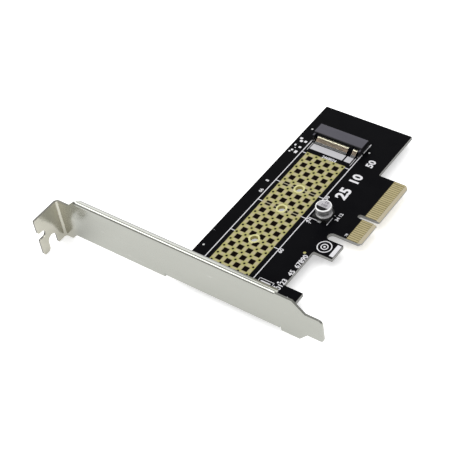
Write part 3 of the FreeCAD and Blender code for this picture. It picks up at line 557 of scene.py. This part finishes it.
def figures(words, across, along, tall, up=0.0, thick=PRINT, turn=math.pi / 2, heavy=0.012):
    """Plain numbers printed flat. They read along the board, or across it with a turn of 0."""
    fresh()
    bpy.ops.object.text_add(location=spot(across, along, up + thick / 2), rotation=(0, 0, turn))
    text = active().data
    text.body = words
    text.size = tall * 1.4 * MM
    text.extrude = thick / 2 * MM
    text.resolution_u = 3
    text.align_x, text.align_y = "CENTER", "CENTER"
    text.offset = heavy * tall * MM
    bpy.ops.object.convert(target="MESH")
    mode("EDIT")
    bpy.ops.mesh.select_all(action="SELECT")
    bpy.ops.mesh.remove_doubles(threshold=1e-7)
    bpy.ops.mesh.normals_make_consistent(inside=False)
    mode("OBJECT")
    return active()


def printed(name, parts, finish=ink):
    """Join printed parts into one piece that rides on the card, with its place in its mesh."""
    fresh()
    for part in parts:
        part.select_set(True)
    bpy.context.view_layer.objects.active = parts[0]
    bpy.ops.object.join()
    piece = active()
    bpy.ops.object.transform_apply(location=True, rotation=True, scale=True)
    piece.name = piece.data.name = name
    piece.data.materials.clear()
    piece.data.materials.append(finish)
    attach(piece, "root")
    fresh()


printed("length_numbers", [
    figures("30", 29.0, 44.6, 1.6, heavy=0.03),
    figures("42", 29.2, 57.8, 1.6, heavy=0.03),
    figures("60", 29.2, 75.8, 1.6, heavy=0.03)])

# outlines of small components, and marks beside them
printed("reference_marks", [
    slab(1.7, 20.9, 1.3, 1.0, 0.3), slab(2.5, 22.3, 1.3, 1.05, 0.3), slab(4.3, 21.9, 1.1, 1.1, 0.2),
    slab(1.6, 25.2, 0.75, 0.9, 0.2), slab(4.0, 25.6, 1.1, 0.9, 0.2), dot(2.0, 28.2, 0.5),
    dot(1.5, 29.3, 0.42), slab(4.0, 28.6, 1.2, 1.5, 0.25), slab(2.4, 26.6, 0.7, 0.3, 0.08),
    dot(0.97, 79.0, 0.12)])

printed("reference_numbers", [
    figures("2468024", 17.9, 26.05, 1.3, turn=0.0, heavy=0.035),
    figures("8", 3.5, 47.4, 1.4, heavy=0.03),
    figures("06", 4.5, 53.0, 1.4, heavy=0.03),
    figures("12", 38.6, 49.9, 1.4, heavy=0.035),
    figures("34", 38.6, 52.3, 1.4, heavy=0.035),
    figures("7", 30.6, 58.7, 1.1, heavy=0.03),
    figures("5", 36.6, 51.2, 0.9),
    figures("78", 45.8, 57.5, 1.0)])

printed("edge_numbers", [
    figures("0123", 38.7, 89.3, 2.0, heavy=0.03),
    figures("45", 38.7, 83.0, 2.0, heavy=0.03),
    figures("67890", 38.7, 76.6, 2.0, heavy=0.03)])

printed("large_numbers", [
    figures("10", 33.4, 30.9, 3.9, heavy=0.05),
    figures("25", 33.4, 39.6, 4.4, heavy=0.05),
    figures("50", 33.9, 20.9, 2.9, heavy=0.045)])

# outline of an unfilled part place beside the bracket
printed("part_outline", [
    slab(33.1, 90.3, 6.2, 0.22, 0.05), slab(30.1, 91.3, 0.22, 2.0, 0.05),
    slab(36.1, 91.3, 0.22, 2.0, 0.05), slab(33.1, 91.4, 4.2, 0.5, 0.1),
    dot(37.0, 89.2, 0.4), dot(37.0, 91.6, 0.4), dot(43.9, 93.6, 0.4)])

# the board's foot: a bar at its outer edge, and rings inside it
printed("foot_bar", [slab(46.65, 66.35, 1.7, 6.1, 0.1)])
printed("foot_rings", [ring(42.0, 66.4, 2.9, 2.5), ring(42.0, 66.4, 1.5, 1.1), dot(42.0, 66.4, 0.45)])

# capacitor top: plain numbers beside the black segment
printed("can_numbers", [
    figures("16", can_across + 0.35, can_along - 1.75, 1.3, up=can_top, thick=0.02, turn=0.0),
    figures("100", can_across + 0.1, can_along - 0.1, 1.3, up=can_top, thick=0.02, turn=0.0)],
    finish=can_ink)

# ---------------------------------------------------------------- floor, light and camera

GLOW = 0.50
SKY = 0.50

bpy.ops.mesh.primitive_plane_add(size=6, location=(0, 0, 0))
floor = active()
floor.name = "floor"
paper = Finish("floor_white", roughness=0.8, Specular_IOR_Level=0.1,
               Emission_Color=(1, 1, 1, 1), Emission_Strength=GLOW)
paper_tint = paper.mix(paper.noise(30, 2), (0.93, 0.93, 0.93), (0.95, 0.95, 0.95))
floor.data.materials.append(paper.feed(Base_Color=paper_tint))

world = bpy.data.worlds.new("studio")
bpy.context.scene.world = world
world.use_nodes = True
sky = world.node_tree.nodes["Background"]
sky.inputs["Color"].default_value = (1.0, 1.0, 1.0, 1.0)
sky.inputs["Strength"].default_value = SKY


def lamp(name, place, wide, tall, power):
    """A soft oval light that points at the middle of the frame."""
    data = bpy.data.lights.new(name, "AREA")
    data.shape, data.size, data.size_y, data.energy = "ELLIPSE", wide, tall, power
    made = bpy.data.objects.new(name, data)
    bpy.context.scene.collection.objects.link(made)
    made.location = place
    made.rotation_euler = (Vector() - Vector(place)).to_track_quat("-Z", "Y").to_euler()


lamp("top_light", (0.0, 0.0, 1.0), wide=1.0, tall=1.0, power=3.4)
lamp("side_light", (-0.47, -0.23, 0.74), wide=1.1, tall=0.3, power=3.4)
lamp("back_light", (-0.55, 0.88, 0.34), wide=1.3, tall=0.66, power=3.6)

eye = bpy.data.objects.new("camera", bpy.data.cameras.new("camera"))
bpy.context.scene.collection.objects.link(eye)
eye.location = (0.23853951, -0.27323538, 0.35427141)
eye.rotation_euler = [math.radians(turn) for turn in (44.913, 7.345, 36.003)]
eye.data.lens, eye.data.sensor_width = 106.045, 36.0
bpy.context.scene.camera = eye
bpy.context.scene.view_settings.view_transform = "Standard"
